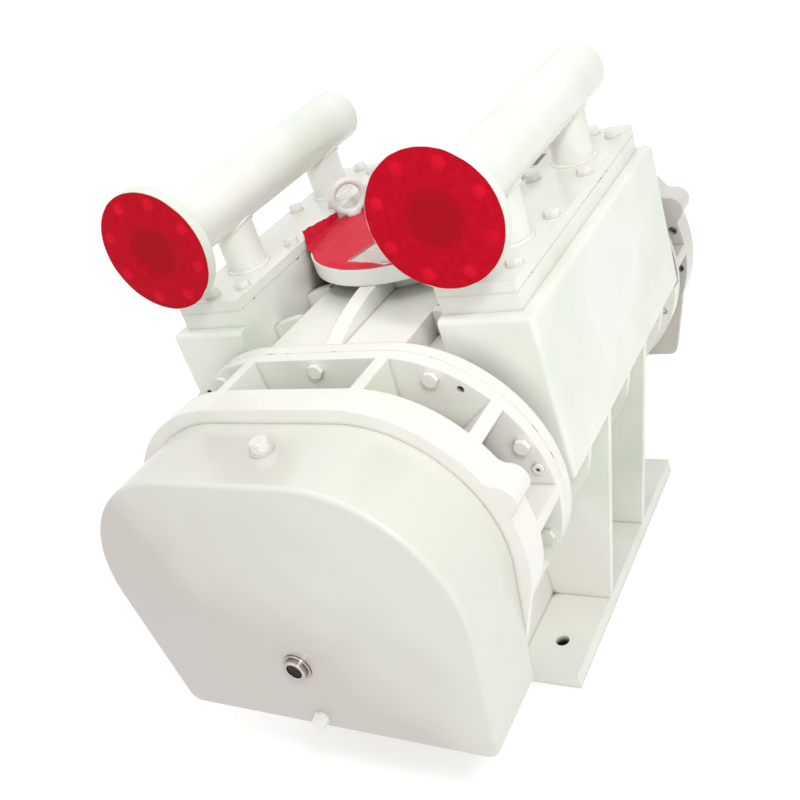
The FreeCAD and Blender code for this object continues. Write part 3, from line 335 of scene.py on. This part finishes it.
def packing_board():
    """Grey millboard laid over the open port: matt, with fine fibres along one direction."""
    material, tree, shader, place = start("grey_millboard")
    drawn_out = add(tree, "ShaderNodeMapping", "Vector", {"Vector": place, "Scale": (0.12, 1.0, 1.0)})
    fibres = add(tree, "ShaderNodeTexNoise", "Fac", {"Vector": drawn_out, "Scale": 1 / 0.003, "Detail": 4.0})
    tone = add(tree, "ShaderNodeValToRGB", "Color", {"Fac": fibres}, [(0.3, "#BDB1A8"), (0.7, "#D9CEC6")])
    fill(tree, shader, {"Base Color": tone, "Normal": relief(tree, [(fibres, 0.0003)]), "Roughness": 0.85})
    return material


gasket_fibre = fibre_gasket()
rubber = seal_rubber()
gauge_glass = oily_glass()
millboard = packing_board()
# Painted shade over the open bore of each pipe
flange_film = protective_film("red_film_on_pipe_flange", "#BC0820", "#C60C26", 0.05, 0.5,
                              bore=(0.052, "#AB0E1D"))
torn_film = protective_film("loose_red_film_on_inlet_flange", "#CE0228", "#DA1238", 0.2, 0.4)
flap_film = protective_film("folded_red_film", "#C80028", "#D80A32", 0.15, 0.4)


# Finishes of the nodes

finishes = {
    casting_enamel: ["casing", "inlet_port", "gear_side_plate", "driven_gear_end_cap", "drive_gear_end_cap"],
    plate_enamel: ["outlet_duct", "left_leg_webs", "right_leg_webs", "left_air_box", "right_air_box",
                   "left_box_cover", "right_box_cover", "left_air_pipe", "right_air_pipe",
                   "left_risers", "right_risers", "left_pipe_flange", "right_pipe_flange"],
    foot_enamel: ["left_foot", "right_foot"],
    shaded_drive_end_enamel: ["drive_side_plate", "driven_drive_end_cap", "drive_drive_end_cap"],
    cover_enamel: ["gear_cover", "gear_cover_gasket"],
    fastener_enamel: ["left_cover_bolts", "right_cover_bolts", "gear_side_bolts", "drive_side_bolts",
                      "dowel_sleeves", "gear_cover_bolts", "drain_plug", "filler_plug", "bearing_cap_bolts"],
    eye_primer: ["eye_bolts"],
    gasket_fibre: ["left_box_gasket", "right_box_gasket"],
    plated_steel: ["sight_glass_bezel"],
    gauge_glass: ["sight_glass_lens"],
    rubber: ["shaft_seal"],
    bearing_steel: ["bearing_outer_rings", "drive_inner_rings", "driven_inner_rings", "drive_rollers",
                    "driven_rollers"],
    machined_iron: ["labyrinth_rings", "drive_rotor", "driven_rotor", "drive_rotor_plugs",
                    "driven_rotor_plugs"],
    ground_steel: ["drive_shaft", "driven_shaft", "drive_gear_key", "driven_gear_key",
                   "drive_timing_gear", "driven_timing_gear", "drive_locknut", "driven_locknut",
                   "drive_oil_slinger", "driven_oil_slinger"],
}
for finish, names in finishes.items():
    for name in names:
        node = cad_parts[name]
        node.data.materials.clear()
        node.data.materials.append(finish)


# Making pieces

def settle(name, mesh, material, smooth=True, origin=(0.0, 0.0, 0.0)):
    """A piece of the housing made of a mesh, whose vertices are given from the piece's own origin."""
    mesh.materials.append(material)
    mesh.polygons.foreach_set("use_smooth", [smooth] * len(mesh.polygons))
    mesh.update()
    made = bpy.data.objects.new(name, mesh)
    bpy.context.scene.collection.objects.link(made)
    made.location = origin
    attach(made, housing)
    return made


def piece(name, vertices, faces, material, smooth=True, origin=(0.0, 0.0, 0.0)):
    """A piece of the housing made of vertices and faces."""
    mesh = bpy.data.meshes.new(name)
    mesh.from_pydata([tuple(v) for v in vertices], [], faces)
    return settle(name, mesh, material, smooth, origin)


def turns(steps):
    """The angles of that many even steps round a circle."""
    return [2 * math.pi * k / steps for k in range(steps)]


def smooth_step(value, low, high):
    """0 below low, 1 above high, smooth between."""
    share = min(1.0, max(0.0, (value - low) / (high - low)))
    return share * share * (3 - 2 * share)


# Weld beads on the air pipes

bead_thickness = 5.5 * millimetre
bead_steps = 150
bead_sides = 10
puddle_length = 5.2 * millimetre
slow_lumps = 60.0
quick_lumps = 170.0


def weld_bead(name, path, thickness):
    """A closed bead of overlapping puddles. path gives (point, outward direction) pairs all round it."""
    vertices = []
    travelled = 0.0
    count = len(path)
    for i, (point, outward) in enumerate(path):
        ahead = path[(i + 1) % count][0] - path[i - 1][0]
        across = ahead.normalized().cross(outward).normalized()
        travelled += ahead.length / 2
        puddle = (travelled / puddle_length) % 1.0
        lump = 0.30 * noise.noise(point * slow_lumps) + 0.16 * noise.noise(point * quick_lumps)
        reach = thickness * (0.92 + 0.10 * math.sin(math.pi * puddle) + lump)
        for turn in turns(bead_sides):
            vertices.append(point + reach * (math.cos(turn) * outward + math.sin(turn) * across))
    faces = []
    for i in range(count):
        here = i * bead_sides
        there = ((i + 1) % count) * bead_sides
        for k in range(bead_sides):
            side = (k + 1) % bead_sides
            faces.append((here + k, here + side, there + side, there + k))
    return piece(name, vertices, faces, weld_enamel)


def riser_foot(centre):
    """The path round the foot of a riser, in the corner that it makes with the box's cover."""
    ring = [Vector((math.cos(turn), math.sin(turn), 0.0)) for turn in turns(bead_steps)]
    return [(centre + riser_radius * radial, (radial + Vector((0, 0, 1))).normalized()) for radial in ring]


def riser_top(pipe_centre):
    """The path round the top of a riser, where it meets the belly of the pipe."""
    path = []
    for turn in turns(bead_steps):
        radial = Vector((math.cos(turn), math.sin(turn), 0.0))
        x = riser_radius * radial.x
        drop = math.sqrt(pipe_radius ** 2 - x ** 2)
        belly = Vector((x, 0.0, -drop))
        path.append((pipe_centre + belly + Vector((0.0, riser_radius * radial.y, 0.0)),
                     (radial + belly.normalized()).normalized()))
    return path


def pipe_end(centre):
    """The path round the pipe where it enters the back of its flange."""
    ring = [Vector((math.cos(turn), 0.0, math.sin(turn))) for turn in turns(bead_steps)]
    return [(centre + pipe_radius * radial, (radial + Vector((0, 1, 0))).normalized()) for radial in ring]


for side, side_x in (("left", -pipe_x), ("right", pipe_x)):
    for spot, spot_y in (("front", -riser_y), ("rear", riser_y)):
        weld_bead(f"{side}_{spot}_riser_foot_weld", riser_foot(Vector((side_x, spot_y, box_top))),
                  bead_thickness)
        weld_bead(f"{side}_{spot}_riser_top_weld", riser_top(Vector((side_x, spot_y, pipe_z))),
                  bead_thickness * 0.8)
    weld_bead(f"{side}_pipe_flange_weld", pipe_end(Vector((side_x, flange_high.y, pipe_z))), bead_thickness)


# Protective film on the pipe flanges

disc_radius = flange_high.x - pipe_x - 1 * millimetre
disc_tatter = 0.9 * millimetre
disc_rings = 56
disc_spokes = 160
bore_radius = 50 * millimetre
hole_circle = 90 * millimetre
hole_radius = 10.5 * millimetre
hole_count = 8
film_lift = 0.45 * millimetre
film_wave = 0.25 * millimetre
bore_sink = 1.6 * millimetre
hole_rise = 1.3 * millimetre


def film_disc(name, centre_x):
    """Film cut round the flange face, drawn in over the bore and standing up over the bolt holes."""
    hole_turns = [turn + math.pi / hole_count for turn in turns(hole_count)]
    holes = [Vector((math.cos(turn), math.sin(turn))) * hole_circle for turn in hole_turns]
    spots = [Vector((0.0, 0.0))]
    for i in range(1, disc_rings + 1):
        for turn in turns(disc_spokes):
            spoke = Vector((math.cos(turn), math.sin(turn)))
            ragged = disc_tatter * noise.noise(Vector((spoke.x * 6, centre_x * 9, spoke.y * 6)))
            spots.append(spoke * (disc_radius + ragged) * i / disc_rings)
    vertices = []
    stretched = []
    for spot in spots:
        x, z = spot
        lift = film_lift + film_wave * noise.noise(Vector((x * 45, centre_x, z * 45)))
        lift -= bore_sink * (1 - smooth_step(spot.length, bore_radius - 0.006, bore_radius + 0.001))
        for hole in holes:
            away = (spot - hole).length
            lift += hole_rise * (1 - smooth_step(away, hole_radius * 0.35, hole_radius * 1.15))
        vertices.append((x, -lift, z))
        near = min((spot - hole).length for hole in holes)
        worn = 0.75 + 0.5 * noise.noise(Vector((x * 30, centre_x * 7, z * 30)))
        stretched.append(worn * (1 - smooth_step(near, hole_radius * 0.7, hole_radius * 1.3)))
    faces = [(0, 1 + k, 1 + (k + 1) % disc_spokes) for k in range(disc_spokes)]
    for i in range(disc_rings - 1):
        inner = 1 + i * disc_spokes
        outer = inner + disc_spokes
        for k in range(disc_spokes):
            after = (k + 1) % disc_spokes
            faces.append((inner + k, outer + k, outer + after, inner + after))
    made = piece(name, vertices, faces, flange_film, origin=(centre_x, flange_low.y, pipe_z))
    made.data.attributes.new("stretched", "FLOAT", "POINT").data.foreach_set("value", stretched)


film_disc("left_flange_film", -pipe_x)
film_disc("right_flange_film", pipe_x)


# Board and torn film on the inlet flange

port_top = port_high.z
film_radius = port_high.x - 3 * millimetre
board_radius = 181 * millimetre
notch_radius = 156 * millimetre
board_thickness = 2.5 * millimetre
drape = 13 * millimetre
film_gap = 0.8 * millimetre
board_gap = 0.4 * millimetre
wrinkle_height = 1.1 * millimetre
eye_angle = 159.5
fold = (Vector((-0.1930, -0.0780, 0.0)), Vector((-0.1945, 0.0500, 0.0)))
fold_way = (fold[1] - fold[0]).normalized()
fold_lift = 2.5 * millimetre
fold_curl = 9 * millimetre
lug_angle = 202.0
lug_length = 12 * millimetre
sheet_tatter = 2.2 * millimetre
sheet_rings = 48
sheet_spokes = 144
tear = [(-0.047, -0.164), (0.042, -0.186), (0.094, -0.150), (0.062, -0.066), (-0.014, -0.052)]
lip_width = 0.8 * millimetre
lip_rise = 0.9 * millimetre
flap_tips = (Vector((-0.205, -0.063, 0.867)), Vector((-0.1965, 0.052, 0.852)))


def film_height(x, y):
    """How high the loose film lies over a point of the flange: over the board, then down to the rim."""
    over_board = 1 - smooth_step(math.hypot(x, y), board_radius, board_radius + drape)
    lift = film_gap + (board_thickness + board_gap) * over_board
    wrinkle = noise.noise(Vector((x * 9 + y * 22, y * 5 - x * 3, 0.3)))
    from_fold = (x - fold[0].x) * fold_way.y - (y - fold[0].y) * fold_way.x
    near_fold = 1 - smooth_step(from_fold, 0.0, fold_curl)
    return port_top + lift + wrinkle_height * wrinkle ** 2 + fold_lift * near_fold ** 2


def board(name, steps=240):
    """The round board, with a notch for each lifting eye and slightly rounded edges."""
    top = port_top + board_thickness
    middle_height = top - board_thickness * 0.5
    vertices = []
    for inset, z in ((0.0008, top), (0.0002, top - 0.0003), (0.0, middle_height), (0.0004, port_top)):
        for turn in turns(steps):
            from_eye = abs((math.degrees(turn) - eye_angle + 90) % 180 - 90)
            reach = notch_radius + (board_radius - notch_radius) * smooth_step(from_eye, 7.0, 8.5) - inset
            vertices.append((reach * math.cos(turn), reach * math.sin(turn), z))
    faces = [tuple(range(steps)), tuple(reversed(range(3 * steps, 4 * steps)))]
    for i in range(3):
        for k in range(steps):
            after = (k + 1) % steps
            faces.append((i * steps + k, (i + 1) * steps + k, (i + 1) * steps + after, i * steps + after))
    piece(name, vertices, faces, millboard, smooth=False)


def torn_sheet(name):
    """Film over the whole flange, cut along the fold, with one torn opening whose edge is a little raised."""
    sheet = bmesh.new()
    grid = [[sheet.verts.new((0, 0, 0))]]
    for i in range(1, sheet_rings + 1):
        row = []
        for turn in turns(sheet_spokes):
            ragged = sheet_tatter * noise.noise(Vector((math.cos(turn) * 7, math.sin(turn) * 7, 2.0)))
            lug = lug_length * (1 - smooth_step(abs(math.degrees(turn) - lug_angle), 3.0, 11.0))
            reach = (film_radius + ragged + lug) * i / sheet_rings
            row.append(sheet.verts.new((reach * math.cos(turn), reach * math.sin(turn), 0)))
        grid.append(row)
    for k in range(sheet_spokes):
        after = (k + 1) % sheet_spokes
        sheet.faces.new((grid[0][0], grid[1][k], grid[1][after]))
        for i in range(1, sheet_rings):
            sheet.faces.new((grid[i][k], grid[i + 1][k], grid[i + 1][after], grid[i][after]))

    def cut(point, across, drop_beyond=False):
        """Cuts the sheet's faces along an upright plane, and may drop what lies beyond it."""
        bmesh.ops.bisect_plane(sheet, geom=sheet.verts[:] + sheet.edges[:] + sheet.faces[:], dist=1e-6,
                               plane_co=point, plane_no=across, clear_outer=drop_beyond)

    cut(fold[0], (-fold_way.y, fold_way.x, 0), drop_beyond=True)
    sides = list(zip(tear, tear[1:] + tear[:1]))
    for (ax, ay), (bx, by) in sides:
        cut((ax, ay, 0), (by - ay, ax - bx, 0))

    def inside(x, y, margin=0.0):
        """True if a point lies within the opening, or that many metres round it."""
        for (ax, ay), (bx, by) in sides:
            length = math.hypot(bx - ax, by - ay)
            if ((bx - ax) * (y - ay) - (by - ay) * (x - ax)) / length < -margin:
                return False
        return True

    torn = [f for f in sheet.faces if inside(*f.calc_center_median().xy)]
    bmesh.ops.delete(sheet, geom=torn, context="FACES")
    whitened = []
    for vertex in sheet.verts:
        x, y, _ = vertex.co
        lip = inside(x, y, lip_width)
        whitened.append(1.0 if lip else 0.25 if inside(x, y, 0.003) else 0.0)
        vertex.co.z = film_height(x, y) + (lip_rise if lip else 0.0)
    mesh = bpy.data.meshes.new(name)
    sheet.to_mesh(mesh)
    sheet.free()
    mesh.attributes.new("whitened", "FLOAT", "POINT").data.foreach_set("value", whitened)
    settle(name, mesh, torn_film)


def folded_flap(name, columns=44, rows=12):
    """The part of the film that stands up along the fold, up to its two top corners."""
    vertices = []
    for i in range(columns + 1):
        share = i / columns
        foot = fold[0].lerp(fold[1], share)
        foot.z = film_height(foot.x, foot.y)
        tip = flap_tips[0].lerp(flap_tips[1], share)
        tip.z += 1.8 * millimetre * noise.noise(Vector((share * 8, 4.0, 1.0)))
        for j in range(rows + 1):
            up = j / rows
            wave = 1.3 * millimetre * noise.noise(Vector((share * 5, up * 2, 7.0))) * math.sin(math.pi * up)
            vertices.append(foot.lerp(tip, up) - Vector((wave, 0.0, 0.0)))
    faces = []
    for i in range(columns):
        for j in range(rows):
            corner = i * (rows + 1) + j
            faces.append((corner, corner + rows + 1, corner + rows + 2, corner + 1))
    piece(name, vertices, faces, flap_film)


board("inlet_board")
torn_sheet("torn_inlet_film")
folded_flap("folded_inlet_film")


# Floor, backdrop, light and camera

floor_half = 90.0
shade_reach = 0.03
shadow_reach = 0.07
floor_glow = 0.36
world_low = 0.555
world_high = 0.875
aim = (0.0, -0.1, 0.6)


def background_rays(tree):
    """1 for a ray from the camera, off a shine or through glass, which sees the white background."""
    camera_ray, glossy_ray, through = [
        add(tree, "ShaderNodeLightPath", f"Is {kind} Ray") for kind in ("Camera", "Glossy", "Transmission")]
    direct = add(tree, "ShaderNodeMath", "Value", {0: camera_ray, 1: glossy_ray}, operation="MAXIMUM")
    return add(tree, "ShaderNodeMath", "Value", {0: direct, 1: through}, operation="MAXIMUM")


def stage_floor():
    """A wide pale floor, made white by a faint glow except close to the blower, which keeps its shadow. Where
    the blower closes it in, the glow fades and its colour darkens: painted shadow.
    """
    material, tree, shader, place = start("pale_studio_floor")
    speck = add(tree, "ShaderNodeTexNoise", "Fac", {"Vector": place, "Scale": 1 / 0.5, "Detail": 2.0})
    tone = add(tree, "ShaderNodeValToRGB", "Color", {"Fac": speck}, [(0.3, "#EAEAE8"), (0.7, "#EEEEEC")])
    # Painted shadow where the blower stands close over the floor
    tone = hollow_grime_and_shade(tree, tone, shade_reach, [(0.2, "#4A4642"), (0.4, clean)], samples=8)
    # The glow fades near the blower, which paints more shadow there
    near = add(tree, "ShaderNodeAmbientOcclusion", "AO", {"Distance": shadow_reach}, samples=8)
    clear = add(tree, "ShaderNodeMapRange", "Result",
                {"Value": near, "From Min": 0.1, "From Max": 0.75, "To Max": floor_glow})
    glow = add(tree, "ShaderNodeMath", "Value", {0: background_rays(tree), 1: clear}, operation="MULTIPLY")
    fill(tree, shader, {"Base Color": tone, "Roughness": 0.9, "Emission Color": linear(clean),
                        "Emission Strength": glow})
    mesh = bpy.data.meshes.new("floor")
    corners = [(-floor_half, -floor_half, 0), (floor_half, -floor_half, 0),
               (floor_half, floor_half, 0), (-floor_half, floor_half, 0)]
    mesh.from_pydata(corners, [], [(0, 1, 2, 3)])
    mesh.materials.append(material)
    floor = bpy.data.objects.new("floor", mesh)
    bpy.context.scene.collection.objects.link(floor)


def studio_world():
    """White surroundings: plain white where seen, and as light dimmer, brightest from overhead."""
    world = bpy.data.worlds.new("white_studio")
    bpy.context.scene.world = world
    world.use_nodes = True
    tree = world.node_tree
    tree.nodes.clear()
    direction = add(tree, "ShaderNodeTexCoord", "Generated")
    height = add(tree, "ShaderNodeSeparateXYZ", "Z", {"Vector": direction})
    cast = add(tree, "ShaderNodeMapRange", "Result",
               {"Value": height, "To Min": world_low, "To Max": world_high})
    strength = add(tree, "ShaderNodeMapRange", "Result",
                   {"Value": background_rays(tree), "To Min": cast, "To Max": 1.0})
    light = add(tree, "ShaderNodeBackground", "Background", {"Color": linear(clean), "Strength": strength})
    fill(tree, tree.nodes.new("ShaderNodeOutputWorld"), {"Surface": light})


def softbox(name, place, size, power):
    """A square area lamp, that many metres wide and with that many watts, which faces the blower."""
    lamp = bpy.data.lights.new(name, "AREA")
    lamp.shape = "SQUARE"
    lamp.size = size
    lamp.energy = power
    made = bpy.data.objects.new(name, lamp)
    made.location = place
    made.rotation_euler = (Vector(aim) - Vector(place)).to_track_quat("-Z", "Y").to_euler()
    bpy.context.scene.collection.objects.link(made)


def photo_camera():
    """The camera as it was fitted to the photograph, with turns about X, Y and Z in degrees."""
    lens = bpy.data.cameras.new("camera")
    lens.sensor_width = 36.0
    lens.lens = 46.182
    camera = bpy.data.objects.new("camera", lens)
    camera.location = (0.99792, -1.55441, 1.47167)
    camera.rotation_euler = [math.radians(a) for a in (60.3753, 17.4754, 27.2014)]
    bpy.context.scene.collection.objects.link(camera)
    bpy.context.scene.camera = camera


stage_floor()
studio_world()
softbox("key_softbox", (2.3, -2.1, 3.3), 0.5, 48.0)
softbox("overhead_softbox", (-0.1, -0.5, 4.4), 2.2, 18.0)
softbox("front_softbox", (1.5, -1.9, 1.85), 1.1, 6.0)
photo_camera()
bpy.context.scene.view_settings.view_transform = "Standard"
